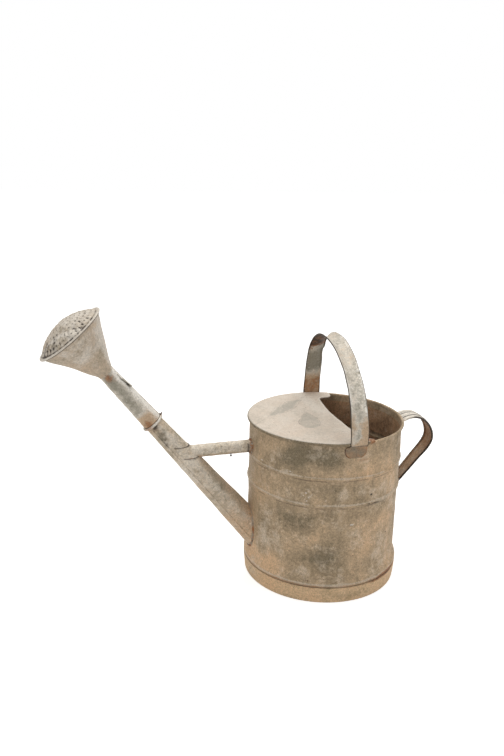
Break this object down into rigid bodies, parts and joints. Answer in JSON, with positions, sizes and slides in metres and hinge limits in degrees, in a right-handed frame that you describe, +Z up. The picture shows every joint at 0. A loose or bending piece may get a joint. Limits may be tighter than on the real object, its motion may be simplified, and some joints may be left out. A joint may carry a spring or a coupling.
{
  "type": "watering can",
  "caption": "Weathered galvanised steel watering can: round can with half-moon cover, carry strap, rear strap handle, braced tapered spout and push-on rose.",
  "frame": {"origin": "centre of the foot band's lower edge, on the floor", "axes": "+Z up, the spout points along -X, the rear handle along +X, and the can is symmetric about the XZ plane"},
  "size_m": [0.6163, 0.25, 0.4416],
  "materials": {
    "zinc": "weathered galvanised steel, mottled olive, beige and rust",
    "zinc_pale": "pale weathered galvanised steel with grey stains",
    "zinc_rusty": "galvanised steel gone ochre and brown with rust",
    "rusty_wire": "rusty steel wire"
  },
  "bodies": {
    "can": {"body_wall": "zinc", "rim_wire": "rusty_wire", "bottom_disc": "zinc", "foot_band": "zinc_rusty", "cover": "zinc_pale", "carry_handle": "zinc_pale", "rear_handle": "zinc_rusty", "spout_tube": "zinc", "brace_tube": "zinc"},
    "rose": {"rose_socket": "zinc_pale", "lip_wire": "rusty_wire", "rose_cone": "zinc", "rose_face": "zinc_pale"}
  },
  "joints": [
    {"name": "rose_pull", "type": "slide", "parent": "can", "child": "rose", "axis": [-0.6428, 0, 0.766], "range_m": [0, 0.04]}
  ]
}
